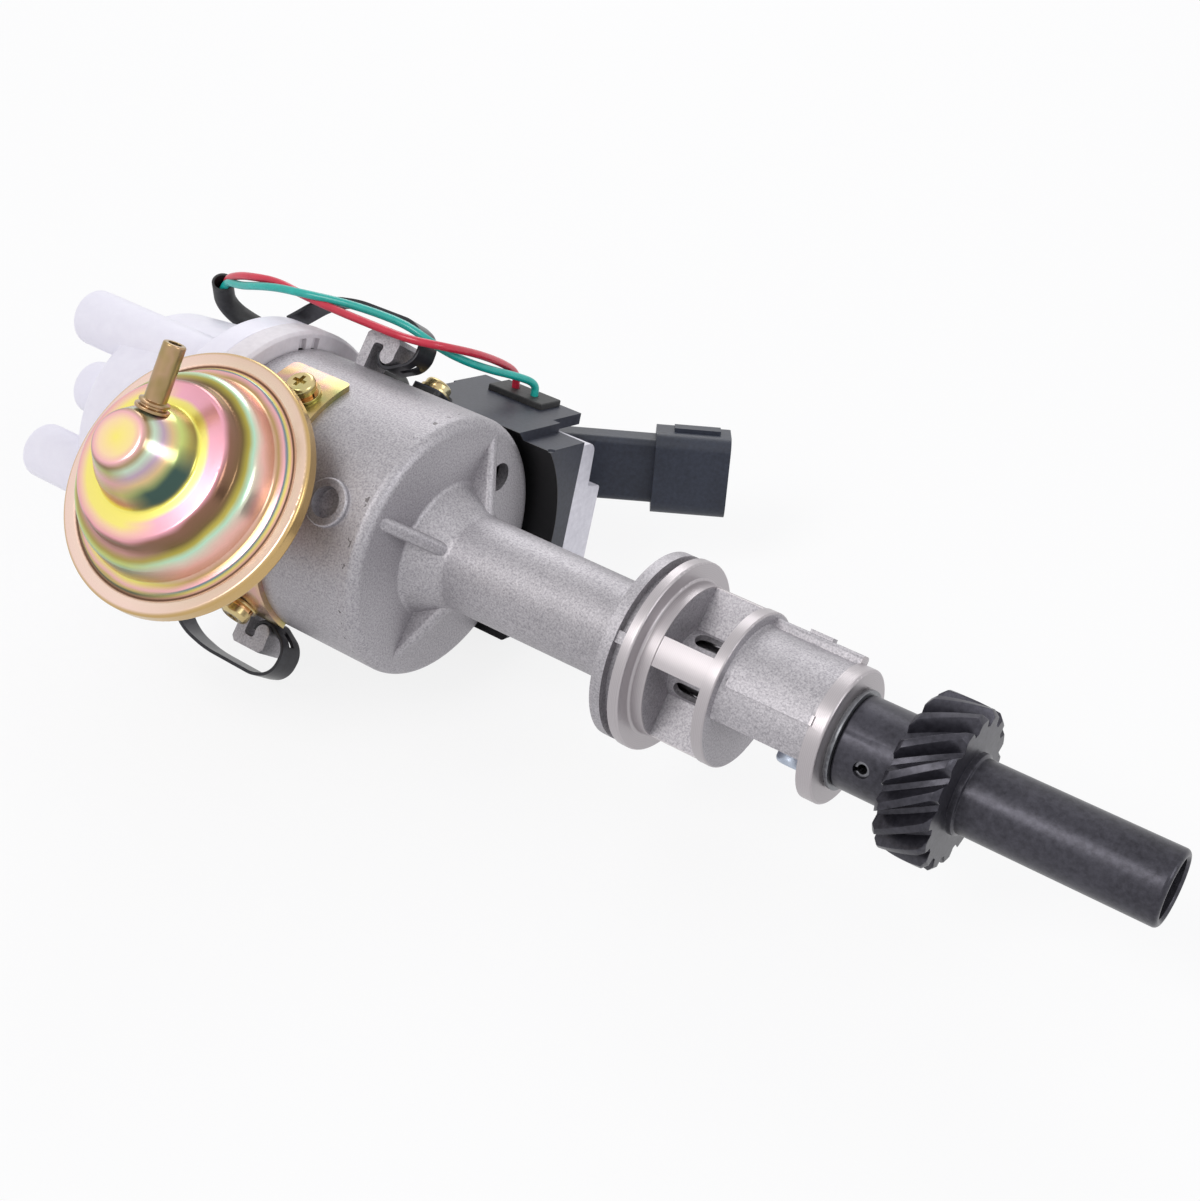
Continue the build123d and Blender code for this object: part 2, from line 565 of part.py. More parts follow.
brush_coil = sweep(wire_start * Circle(spring_wire), path=brush_helix)
nodes["brush_spring"] = Plane(origin=(centre_pin_x + spring_wire + 0.05, 0, 0), z_dir=(1, 0, 0)) * brush_coil

# Canister bracket: saddle on the bowl with a neck up to the pan
saddle = sector(saddle_x0, saddle_x1, bowl_r, bowl_r + saddle_thick, saddle_phi0, saddle_phi1)
saddle = fillet(saddle.edges().filter_by(lambda e: abs(e.length - saddle_thick) < 0.01), 1.4)
neck = can * Pos(0, 0, 26) * stud(8.5, pan_bottom - 26) - rod(-135, -95, bowl_r + 0.5)
saddle += neck
saddle -= can * Pos(0, 0, 20) * block(4.0, 8.0, 20)
for angle, x in bracket_screw_at:
    saddle -= side(angle, x, 30) * stud(2.15, 10)
nodes["canister_bracket"] = saddle
flats, springs_, screws = [], [], []
for angle, x in bracket_screw_at:
    seat = side(angle, x, bowl_r + saddle_thick)
    flats.append((seat * (stud(4.6, 0.8) - stud(2.15, 0.8))).solid())
    split = stud(3.7, 1.0) - stud(2.15, 1.0) - Pos(3, 0, 0) * block(4, 0.6, 1)
    springs_.append((seat * Pos(0, 0, 0.8) * split).solid())
    screws.append((seat * Pos(0, 0, 1.8) * pan_screw(3.9, 2.7, 1.95, 6.4)).solid())
nodes["bracket_flat_washers"] = Compound(children=flats)
nodes["bracket_spring_washers"] = Compound(children=springs_)
nodes["bracket_screws"] = Compound(children=screws)


def pressed(points, radii, thick):
    """Sheet pressed round the canister axis along (radius, height) points."""
    line = FilletPolyline(*points, radius=radii)
    return revolve(Plane.XZ * trace(line, line_width=thick), axis=Axis.Z)


# Canister: pan, crimped cover, nipple, diaphragm, cup, spring and pull rod
half = sheet / 2
rubber = 0.6
seat = can * Pos(0, 0, pan_bottom)
pan = pressed([(3.6, half), (9.5, half), (15.0, 2.8), (22.0, 4.5), (28.0, 8.2), (can_rim_r - 1.8, 8.2)],
              [2.0, 6.0, 6.0, 2.0], sheet)
nodes["canister_pan"] = seat * pan
rim_out = can_rim_r - half
dome = can_height - half
cover = pressed([(rim_out - 1.9, 7.15), (rim_out, 7.15), (rim_out, 10.7), (31.3, 10.7), (30.5, 9.9),
                 (29.2, 11.7), (26.6, 12.5), (25.2, 19.1), (21.6, 20.9), (20.6, 24.6), (13.6, 25.6),
                 (11.6, 30.5), (can_hub_r - 0.7, dome), (0, dome)],
                [0.5, 0.6, 0.6, 0.4, 0.8, 2.0, 2.4, 1.6, 1.4, 1.6, 3.0, 1.6], sheet)
nipple_foot = Vector(0.3, 7.5, can_height - 6.0)
nipple_tip = nipple_foot + Vector(1.7, 17.8, 6.9)
nipple_dir = (nipple_tip - nipple_foot).normalized()
nipple_frame = Plane(origin=nipple_foot, z_dir=nipple_dir)
nipple_len = (nipple_tip - nipple_foot).length
nipple_face = [(0, 0), (2.8, 0), (2.8, 2.3), (4.3, 2.5), (4.3, 3.2), (3.2, 3.4), (3.2, 3.9), (3.8, 4.1),
               (3.8, 4.7), (2.8, 5.0), (2.8, nipple_len), (0, nipple_len)]
nipple = nipple_frame * spun(nipple_face, rounds=((10, 0.5),))
nodes["canister_cover"] = seat * (cover - nipple)
nipple -= nipple_frame * stud(1.6, nipple_len)
nodes["hose_nipple"] = seat * nipple
flat_z = 9.15
diaphragm = pressed([(can_rim_r - 1.6, 9.0), (27.8, 9.0), (24.8, 12.9), (21.0, 12.9), (18.4, flat_z),
                     (2.2, flat_z)], [1.2, 1.6, 1.6, 1.2], rubber)
nodes["diaphragm"] = seat * diaphragm
cup_thick = 0.9
cup_z = flat_z + rubber / 2 + cup_thick / 2
cup = pressed([(0, cup_z), (16.9, cup_z), (17.6, cup_z + 2.2)], [0.8], cup_thick)
nodes["diaphragm_cup"] = seat * cup
spring_r = 15.3
spring_wire_r = 0.7
helix_z0 = cup_z + cup_thick / 2 + spring_wire_r + 0.05
helix_z1 = 24.85 - spring_wire_r - 0.1
can_helix = Helix(pitch=3.1, height=helix_z1 - helix_z0, radius=spring_r)
wire_plane = Plane(origin=can_helix @ 0, z_dir=can_helix % 0)
can_coil = Pos(0, 0, helix_z0) * sweep(wire_plane * Circle(spring_wire_r), path=can_helix)
nodes["diaphragm_spring"] = seat * can_coil
foot_z = -foot_pin_at * sin(radians(plate_deg / 2))
foot_t = foot_pin_at * (1 - cos(radians(plate_deg / 2))) / 2
rod_thick = 1.6
rod_end = pan_bottom + 8.0
strip_face = (Pos(foot_t, foot_z) * Circle(3.2)
              + Pos(foot_t, (foot_z + rod_end) / 2) * Rectangle(4.6, rod_end - foot_z)
              - Pos(foot_t, foot_z) * Circle(foot_pin_r + 0.2))
pull = extrude(Plane(origin=(-rod_thick / 2, 0, 0), x_dir=(0, 1, 0), z_dir=(1, 0, 0)) * strip_face, rod_thick)
pull += Pos(0, 0, pan_bottom + 7.4) * stud(8.0, 1.45) + Pos(0, 0, pan_bottom + 8.7) * stud(2.1, 0.75)
nodes["pull_rod"] = can * pull

# Cap clips: one bent strap each, hooked on its lug
strap_points = [(-hook_r, 0.2), (-hook_r, -hook_r), (0.86, -hook_r), (8.2, 0.7), (7.5, 8.9),
                (1.6, 10.9), (-16.0, 10.7), (-27.6, 8.3), (-33.9, 1.6), (-36.3, -0.8)]
strap_radii = [hook_r - 0.1, hook_r - 0.1, 5.4, 5.6, 9.0, 36.0, 20.0, 2.0]
strap_line = FilletPolyline(*strap_points, radius=strap_radii)
strap = Pos(pivot_x, pivot_d) * trace(strap_line, line_width=clip_thick)
for name, angle in (("clip_top", top_clip_angle), ("clip_bottom", bottom_clip_angle)):
    clip = extrude(flat(angle) * strap, clip_width / 2, both=True)
    clip -= side(angle, pivot_x + 4.8, pivot_d - 4) * Rot(0, 20, 0) * block(4.2, 1.8, 5)
    nodes[name] = clip

# Igniter: carrier saddled on the bowl, heat sink, module and its connector
carrier_len = carrier_x1 - carrier_x0
carrier_mid = (carrier_x0 + carrier_x1) / 2
span = carrier_bottom - carrier_top
span_mid = (carrier_bottom + carrier_top) / 2
carrier = side(module_angle, carrier_mid, 8, span_mid) * block(carrier_len, span, carrier_outer - 8)
corners = carrier.edges().filter_by(Axis((0, 0, 0), radial(module_angle)))
carrier = fillet(corners, 1.0)
carrier -= rod(-130, -50, saddle_gap_r)
roof_len = -75.0 - carrier_x0
carrier += side(module_angle, carrier_x0 + roof_len / 2, carrier_outer - 1, carrier_top + 1.6) * block(
    roof_len, 3.2, 14.7)
step_x = -72.5
carrier -= side(module_angle, (step_x + carrier_x1) / 2, 0, carrier_top) * block(carrier_x1 - step_x, 5.0, 60)
tab_r = saddle_gap_r + 0.6
for low, high in ((142, 172), (229, 258)):
    tab = sector(-106.0, -96.6, bowl_r, tab_r, low, high)
    edges = tab.edges().filter_by(lambda e: abs(e.length - (tab_r - bowl_r)) < 0.01)
    carrier += fillet(edges, 1.5)
for angle, x in module_screw_at:
    carrier -= side(angle, x, 30) * stud(2.15, 12)
    carrier -= side(angle, x, tab_r) * stud(5.2, 14)
carrier -= side(module_angle, carrier_x1, carrier_outer - 15.1, carrier_top) * Rot(90, 0, 0) * Pos(0, 0, -3) * stud(1.3, 6)
plate_mid_x, plate_mid_n = -90.8, carrier_outer + 7.8
grommet_frame = Plane(origin=at(module_angle, plate_mid_x, plate_mid_n, carrier_top),
                      x_dir=(1, 0, 0), z_dir=-around(module_angle))
lead_ends = {"red": (-94.4, plate_mid_n + 0.5), "green": (-87.5, plate_mid_n)}
plate = block(18.4, 9.4, 1.8)
plate = fillet(plate.edges().group_by(Axis.Z)[-1], 0.4)
for x, n in lead_ends.values():
    hole = Plane(origin=at(module_angle, x, n, carrier_top + 3.5), z_dir=-around(module_angle))
    carrier -= hole * stud(lead_r + 0.05, 6)
nodes["module_carrier"] = carrier
grommet = grommet_frame * plate
for x, n in lead_ends.values():
    hole = Plane(origin=at(module_angle, x, n, carrier_top + 3.5), z_dir=-around(module_angle))
    grommet -= hole * stud(lead_r + 0.05, 8)
nodes["grommet_plate"] = grommet
sink_top = -24.6
sink_face = outline([(carrier_outer, sink_top), (sink_outer - 6.8, sink_top), (sink_outer - 6.0, -11.5),
                     (sink_outer, -11.0),
                     (sink_outer, carrier_bottom), (carrier_outer, carrier_bottom)],
                    rounds=((1, 3.0), (2, 0.8), (3, 1.0), (4, 2.0)))
sink_plane = Plane(origin=(carrier_x0, 0, 0), x_dir=radial(module_angle), z_dir=(-1, 0, 0))
sink = extrude(sink_plane * sink_face, -carrier_len)
nodes["heat_sink"] = sink
box_frame = side(module_angle, -90.5, sink_outer, -3.5)
igniter = fillet((box_frame * block(32, 32, 9)).edges(), 0.8)
exit_point = at(module_angle, -82.5, sink_outer + 4.7, -10.9)
exit_dir = (Vector(1, 0, 0) + radial(module_angle) * 0.645 - around(module_angle) * 0.15).normalized()
exit_frame = Plane(origin=exit_point, x_dir=around(module_angle), z_dir=exit_dir)
nodes["igniter_module"] = igniter
stalk = exit_frame * block(18.8, 9.0, 30.0)
stalk = fillet(stalk.edges().filter_by(Axis((0, 0, 0), exit_dir)), 2.0)
shell_frame = Plane(origin=exit_point + exit_dir * 28, x_dir=around(module_angle), z_dir=exit_dir)
shell = shell_frame * block(23.5, 15.0, 21.0)
shell = fillet(shell.edges().filter_by(Axis((0, 0, 0), exit_dir)), 4.0)
mouth = shell_frame * Pos(0, 0, 5) * block(19.5, 11.0, 16)
mouth = fillet(mouth.edges().filter_by(Axis((0, 0, 0), exit_dir)), 2.6)
key_rib = shell_frame * Pos(-11.6, 0, 5) * block(2.4, 4.0, 13)
connector = stalk + shell + key_rib - mouth - igniter
blades = []
for k in (-1, 0, 1):
    blades.append((shell_frame * Pos(k * 5.2, 0, 2) * block(2.8, 0.8, 14)).solid())
nodes["connector_housing"] = connector - Compound(children=blades)
nodes["connector_terminals"] = Compound(children=blades)
module_screws, module_washers = [], []
for angle, x in module_screw_at:
    seat = side(angle, x, tab_r)
    module_washers.append((seat * (stud(4.4, 0.8) - stud(2.15, 0.8))).solid())
    module_screws.append((seat * Pos(0, 0, 0.8) * pan_screw(3.8, 2.5, 1.95, 6.0)).solid())
nodes["module_washers"] = Compound(children=module_washers)
nodes["module_screws"] = Compound(children=module_screws)

# Pickup leads: out of the bowl in a sleeve, over the clip and down into the carrier
clip_a = top_clip_angle
lead_seat = at(lead_angle, lead_x, bowl_in_r - 1.4)
sleeve_r_out, sleeve_r_in = 3.0, 2.35
over_cap = [(-150, 1.24, 27), (-168, -1.06, 15), (-178.5, 1.04, 9.0), (-174.5, 6.44, -1.0)]
sleeve_points = [lead_seat, at(lead_angle, lead_x, bowl_r + 11.44)]
sleeve_points += [at(clip_a, x, bowl_r + height, t) for x, height, t in over_cap]
nodes["lead_sleeve"] = routed(sleeve_points, sleeve_r_out, "lead_sleeve", sleeve_r_in)
grommet_seat = side(lead_angle, lead_x, bowl_in_r - 1.2)
lead_grommet = grommet_seat * (stud(4.15, bowl_wall + 2.4) + Pos(0, 0, bowl_wall + 1.4) * stud(5.6, 1.6))
nodes["lead_grommet"] = lead_grommet - side(lead_angle, lead_x, 20) * stud(sleeve_r_out + 0.02, 40)
nodes["lead_grommet"] -= rod(-130, -110, bowl_in_r - 0.6)
mouth_dir = (sleeve_points[-1] - sleeve_points[-2]).normalized()
mouth_side = mouth_dir.cross(Vector(1, 0, 0)).normalized()


def lead(points, offset, end):
    start = sleeve_points[-1] - mouth_dir * 6 + mouth_side * offset
    way_out = start + mouth_dir * 10
    last_x, last_n = lead_ends[end]
    foot = at(module_angle, last_x, last_n, carrier_top + 3.4)
    knee = at(module_angle, last_x, last_n, carrier_top - 8.0)
    over = [at(clip_a, x, bowl_r + height, t) for x, height, t in points]
    route = [start, way_out] + over + [knee, foot]
    return routed(route, lead_r, end + "_lead")


nodes["red_lead"] = lead([(-163.5, 11.84, -10.6), (-148.0, 11.84, -10.9), (-127.0, 10.34, -10.9),
                          (-101.5, 10.34, -10.9), (-92.5, 13.64, -6.0), (-94.5, 17.84, 24.0)], 1.15, "red")
nodes["green_lead"] = lead([(-163.0, 7.84, -7.4), (-147.0, 9.04, -7.2), (-128.0, 13.84, -7.2),
                            (-105.0, 14.24, -7.2), (-96.2, 11.64, -4.6), (-91.5, 14.04, 22.0)], -1.15, "green")

os.makedirs("parts", exist_ok=True)
for name, shape in nodes.items():
    solids = shape.solids()
    if len(solids) > 1 and not isinstance(shape, Compound):
        shape = Compound(children=solids)
    shape.label = name
    export_step(shape, f"parts/{name}.step")
print(len(nodes), "nodes")
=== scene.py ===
import json
from math import cos, radians, sin

import bpy
from mathutils import Matrix, Vector


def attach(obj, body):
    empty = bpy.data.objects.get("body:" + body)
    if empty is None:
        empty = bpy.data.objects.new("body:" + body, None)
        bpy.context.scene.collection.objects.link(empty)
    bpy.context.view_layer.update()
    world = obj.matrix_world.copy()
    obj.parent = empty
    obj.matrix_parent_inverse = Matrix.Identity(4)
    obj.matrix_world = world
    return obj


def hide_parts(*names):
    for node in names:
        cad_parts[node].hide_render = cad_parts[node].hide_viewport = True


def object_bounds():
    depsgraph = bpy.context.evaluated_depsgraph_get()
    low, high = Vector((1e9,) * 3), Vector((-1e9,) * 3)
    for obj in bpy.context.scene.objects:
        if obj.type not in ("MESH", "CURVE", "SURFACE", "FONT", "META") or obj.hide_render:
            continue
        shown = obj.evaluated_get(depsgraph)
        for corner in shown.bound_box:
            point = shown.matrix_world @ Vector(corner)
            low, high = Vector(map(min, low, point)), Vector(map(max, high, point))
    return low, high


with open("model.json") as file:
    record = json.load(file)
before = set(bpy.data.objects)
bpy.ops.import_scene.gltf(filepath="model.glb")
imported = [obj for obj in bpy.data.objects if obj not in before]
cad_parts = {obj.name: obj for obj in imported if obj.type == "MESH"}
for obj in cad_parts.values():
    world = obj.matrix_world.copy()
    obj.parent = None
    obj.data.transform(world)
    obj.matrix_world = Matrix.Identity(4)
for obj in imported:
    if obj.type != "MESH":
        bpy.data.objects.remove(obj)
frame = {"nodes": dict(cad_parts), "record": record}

cadBox = [list(corner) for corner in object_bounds()]
nodes = frame["nodes"]
bodyOf = {name: body for body, names in frame["record"]["behaviour"]["bodies"].items() for name in names}
slotOf = {part["node"]: part["material_slot"] for part in frame["record"]["subparts"]}
mm = 0.001


def deselectAll():
    if bpy.context.mode != "OBJECT":
        bpy.ops.object.mode_set(mode="OBJECT")
    bpy.ops.object.select_all(action="DESELECT")


def pick(obj):
    deselectAll()
    obj.select_set(True)
    bpy.context.view_layer.objects.active = obj


def radial(phi):                                         # out from the shaft, 0 at the viewer's side and 90 on top
    return Vector((0, -cos(radians(phi)), sin(radians(phi))))


def around(phi):                                         # the way phi grows, at a right angle to radial
    return Vector((0, sin(radians(phi)), cos(radians(phi))))


def at(phi, x, outward, sideways=0.0):                   # millimetres in, metres out
    return (Vector((x, 0, 0)) + radial(phi) * outward + around(phi) * sideways) * mm


deselectAll()

# camera at the photograph's viewing angle, in millimetres and degrees
cameraView = {
    "place": (181.33, -280.57, 290.01), "azimuth": 35.985, "elevation": 39.237,
    "lens": 55.27, "sensor": 36, "nearest": 10,
}


def placeCamera():
    bpy.ops.object.camera_add(
        location=[v * mm for v in cameraView["place"]],
        rotation=(radians(90 - cameraView["elevation"]), 0, radians(cameraView["azimuth"])))
    camera = bpy.context.object
    camera.name = "photoCamera"
    camera.data.lens = cameraView["lens"]
    camera.data.sensor_width = cameraView["sensor"]
    camera.data.clip_start = cameraView["nearest"] * mm
    bpy.context.scene.camera = camera


placeCamera()

# floor, daylight and lamps, in metres
studio = {
    "floorSize": 6.0, "floorTone": (0.90, 0.90, 0.91), "floorRoughness": 0.9, "floorGlow": 0.84, "floorGap": 0.0002,
    "skyTone": (0.95, 0.95, 1.0), "skyLevel": 0.56, "backdropTone": (1, 1, 1),
    "lampTarget": (-0.04, 0, 0),
    "lamps": (                                           # name, place, size, power, colour
        ("keyLamp", (-0.25, -0.75, 0.95), 0.55, 4.6, (1.0, 0.985, 0.97)),
        ("sideLamp", (0.85, 0.10, 0.55), 0.50, 2.2, (0.97, 0.98, 1.0)),
        ("backLamp", (-0.55, 0.80, 0.60), 0.60, 2.6, (1.0, 1.0, 1.0)),
    ),
}


def addNode(tree, kind, **settings):
    made = tree.nodes.new(kind)
    for key, value in settings.items():
        setattr(made, key, value)
    return made


def feed(tree, socket, value):                           # a number or a colour is set, another socket is linked
    if isinstance(value, (int, float)):
        socket.default_value = value
    elif isinstance(value, tuple):
        socket.default_value = (*value, 1)
    else:
        tree.links.new(value, socket)


def mathNode(tree, operation, *values):
    made = addNode(tree, "ShaderNodeMath", operation=operation)
    for socket, value in zip(made.inputs, values):
        feed(tree, socket, value)
    return made.outputs[0]


def mixShaders(tree, share, first, second):
    made = addNode(tree, "ShaderNodeMixShader")
    for socket, value in zip(made.inputs, (share, first.outputs[0], second.outputs[0])):
        feed(tree, socket, value)
    return made.outputs[0]


def seenRay(tree):                                       # 1 where the camera or a mirror looks, 0 for bounced light
    path = addNode(tree, "ShaderNodeLightPath")
    seen = path.outputs["Is Camera Ray"]
    for other in ("Is Glossy Ray", "Is Transmission Ray"):
        seen = mathNode(tree, "MAXIMUM", seen, path.outputs[other])
    return seen


def layFloor():
    bpy.ops.mesh.primitive_plane_add(size=studio["floorSize"], location=(0, 0, cadBox[0][2] - studio["floorGap"]))
    floor = bpy.context.object
    floor.name = "floor"
    coating = bpy.data.materials.new("floorPaint")
    coating.use_nodes = True
    tree = coating.node_tree
    matte = tree.nodes["Principled BSDF"]
    matte.inputs["Base Color"].default_value = (*studio["floorTone"], 1)
    matte.inputs["Roughness"].default_value = studio["floorRoughness"]
    glow = addNode(tree, "ShaderNodeEmission")
    share = mathNode(tree, "MULTIPLY", seenRay(tree), studio["floorGlow"])
    tree.links.new(mixShaders(tree, share, matte, glow), tree.nodes["Material Output"].inputs["Surface"])
    floor.data.materials.append(coating)


def lightSky():
    world = bpy.data.worlds.new("daylight")
    bpy.context.scene.world = world
    world.use_nodes = True
    tree = world.node_tree
    soft = tree.nodes["Background"]
    soft.inputs["Color"].default_value = (*studio["skyTone"], 1)
    soft.inputs["Strength"].default_value = studio["skyLevel"]
    white = addNode(tree, "ShaderNodeBackground")
    white.inputs["Color"].default_value = (*studio["backdropTone"], 1)
    tree.links.new(mixShaders(tree, seenRay(tree), soft, white), tree.nodes["World Output"].inputs["Surface"])


def hangLamps():
    for name, place, size, power, tint in studio["lamps"]:
        aim = Vector(studio["lampTarget"]) - Vector(place)
        bpy.ops.object.light_add(type="AREA", location=place, rotation=aim.to_track_quat("-Z", "Y").to_euler())
        lamp = bpy.context.object
        lamp.name = name
        lamp.data.shape = "DISK"
        lamp.data.size = size
        lamp.data.energy = power
        lamp.data.color = tint


layFloor()
lightSky()
hangLamps()
bpy.context.scene.view_settings.view_transform = "Standard"
print("studio ready")


# finishes
def finish(name, colour, metallic=0.0, roughness=0.5, coat=0.0):
    made = bpy.data.materials.new(name)
    made.use_nodes = True
    tree = made.node_tree
    shader = tree.nodes["Principled BSDF"]
    shader.inputs["Base Color"].default_value = (*colour, 1)
    shader.inputs["Metallic"].default_value = metallic
    shader.inputs["Roughness"].default_value = roughness
    shader.inputs["Coat Weight"].default_value = coat
    return made, tree, shader


def objectCoords(tree):
    return addNode(tree, "ShaderNodeTexCoord").outputs["Object"]


def noise(tree, coords, scale, detail=4.0, roughness=0.6):
    made = addNode(tree, "ShaderNodeTexNoise")
    made.inputs["Scale"].default_value = scale
    made.inputs["Detail"].default_value = detail
    made.inputs["Roughness"].default_value = roughness
    tree.links.new(coords, made.inputs["Vector"])
    return made.outputs["Fac"]


def ramp(tree, value, stops):
    made = addNode(tree, "ShaderNodeValToRGB")
    keys = made.color_ramp.elements
    while len(keys) < len(stops):
        keys.new(0.5)
    for key, (place, colour) in zip(keys, stops):
        key.position = place
        key.color = (*colour, 1)
    tree.links.new(value, made.inputs["Fac"])
    return made.outputs["Color"]


def mixColour(tree, share, first, second, how="MIX"):
    made = addNode(tree, "ShaderNodeMix", data_type="RGBA", blend_type=how)
    for index, value in ((0, share), (6, first), (7, second)):
        feed(tree, made.inputs[index], value)
    return made.outputs[2]


def mixValue(tree, share, first, second):
    made = addNode(tree, "ShaderNodeMix", data_type="FLOAT")
    for index, value in ((0, share), (2, first), (3, second)):
        feed(tree, made.inputs[index], value)
    return made.outputs[0]


def bump(tree, shader, height, strength, distance):
    made = addNode(tree, "ShaderNodeBump")
    made.inputs["Strength"].default_value = strength
    made.inputs["Distance"].default_value = distance
    tree.links.new(height, made.inputs["Height"])
    tree.links.new(made.outputs["Normal"], shader.inputs["Normal"])


def between(tree, value, low, high):
    above = mathNode(tree, "GREATER_THAN", value, low)
    below = mathNode(tree, "LESS_THAN", value, high)
    return mathNode(tree, "MULTIPLY", above, below)


def length(tree, first, second):
    squares = [mathNode(tree, "MULTIPLY", side, side) for side in (first, second)]
    return mathNode(tree, "SQRT", mathNode(tree, "ADD", *squares))


def shaftCoords(tree, coords):                           # distance along the shaft and out from it
    split = addNode(tree, "ShaderNodeSeparateXYZ")
    tree.links.new(coords, split.inputs[0])
    return split.outputs[0], length(tree, split.outputs[1], split.outputs[2])


def ringZone(tree, along, out, zone):                    # 1 inside x from, x to, radius from, radius to
    x0, x1, r0, r1 = zone
    return mathNode(tree, "MULTIPLY", between(tree, along, x0 * mm, x1 * mm), between(tree, out, r0 * mm, r1 * mm))


# the sand-grey casting with its lathe-cut bands
castLook = {
    "dark": (0.27, 0.26, 0.28), "light": (0.49, 0.47, 0.495), "metallic": 0.72, "roughness": 0.5,
    "grainScale": 2000, "grainRamp": (0.32, 0.62), "patchScale": 45, "patchRamp": ((0.3, 0.93), (0.7, 1.03)),
    "bumpDepth": 0.00013, "bumpStrength": 0.55,
    "pitZone": (-76.2, -75.0, 33.0, 37.0),               # where the two halves of the mould met
    "pitScale": 420, "pitShare": 0.645, "pitTone": (0.17, 0.16, 0.165),
    "cutZones": ((-2.75, 20.6, 19.4, 30.0), (43.6, 47.8, 12.0, 30.0)),
    "cut": (0.46, 0.43, 0.445), "cutRoughness": 0.37,
    "latheScale": 700, "latheDistortion": 1.5, "latheShade": 0.9, "latheDepth": 0.12,
}


def latheRings(tree, along, out):                        # fine turning marks, on a face as well as on a wall
    rings = addNode(tree, "ShaderNodeTexWave", wave_type="BANDS", bands_direction="X")
    rings.inputs["Scale"].default_value = castLook["latheScale"]
    rings.inputs["Distortion"].default_value = castLook["latheDistortion"]
    turned = addNode(tree, "ShaderNodeCombineXYZ")
    tree.links.new(mathNode(tree, "ADD", along, out), turned.inputs[0])
    tree.links.new(turned.outputs[0], rings.inputs["Vector"])
    return rings.outputs["Fac"]


def castAluminium():
    made, tree, shader = finish("castAluminium", castLook["light"], castLook["metallic"], castLook["roughness"])
    coords = objectCoords(tree)
    fine = noise(tree, coords, castLook["grainScale"], 3.0, 0.7)
    patch = noise(tree, coords, castLook["patchScale"], 4.0)
    grain = ramp(tree, fine, tuple(zip(castLook["grainRamp"], (castLook["dark"], castLook["light"]))))
    tone = ramp(tree, patch, tuple((place, (level,) * 3) for place, level in castLook["patchRamp"]))
    cast = mixColour(tree, 1.0, grain, tone, "MULTIPLY")
    along, out = shaftCoords(tree, coords)
    pits = mathNode(tree, "GREATER_THAN", noise(tree, coords, castLook["pitScale"], 2.0), castLook["pitShare"])
    pits = mathNode(tree, "MULTIPLY", ringZone(tree, along, out, castLook["pitZone"]), pits)
    cast = mixColour(tree, pits, cast, castLook["pitTone"])
    cut = mathNode(tree, "MAXIMUM", *[ringZone(tree, along, out, zone) for zone in castLook["cutZones"]])
    rings = latheRings(tree, along, out)
    shaded = tuple(castLook["latheShade"] * v for v in castLook["cut"])
    turned = ramp(tree, rings, ((0.0, shaded), (1.0, castLook["cut"])))
    tree.links.new(mixColour(tree, cut, cast, turned), shader.inputs["Base Color"])
    tree.links.new(mixValue(tree, cut, castLook["roughness"], castLook["cutRoughness"]), shader.inputs["Roughness"])
    height = mixValue(tree, cut, fine, mathNode(tree, "MULTIPLY", rings, castLook["latheDepth"]))
    bump(tree, shader, height, castLook["bumpStrength"], castLook["bumpDepth"])
    return made


shade = (0.004, 0.004, 0.005)                            # painted shade, near black, for the unlit gap between the bowl and what sits on it


# two close tones in a fine grain, with a roughness that wanders a little, and painted shade closer to the shaft where
# asked
def grainy(name, dark, light, metallic, roughness, scale=900, depth=0.00004, strength=0.3, coat=0.0,
           shadeWithin=0.0, spread=0.12, broadShare=0.45, tones=(0.36, 0.62)):
    made, tree, shader = finish(name, light, metallic, roughness, coat)
    coords = objectCoords(tree)
    fine = noise(tree, coords, scale, 4.0, 0.65)
    broad = noise(tree, coords, scale / 22, 3.0)
    both = mathNode(tree, "ADD", mathNode(tree, "MULTIPLY", fine, 1 - broadShare),
                    mathNode(tree, "MULTIPLY", broad, broadShare))
    colour = ramp(tree, both, tuple(zip(tones, (dark, light))))
    if shadeWithin:                                      # painted shade on what lies closer to the shaft than this, which is in the shade
        out = shaftCoords(tree, coords)[1]
        colour = mixColour(tree, mathNode(tree, "LESS_THAN", out, shadeWithin * mm), colour, shade)
    tree.links.new(colour, shader.inputs["Base Color"])
    wander = mathNode(tree, "MULTIPLY_ADD", broad, spread, roughness - spread / 2)
    tree.links.new(wander, shader.inputs["Roughness"])
    bump(tree, shader, fine, strength, depth)
    return made
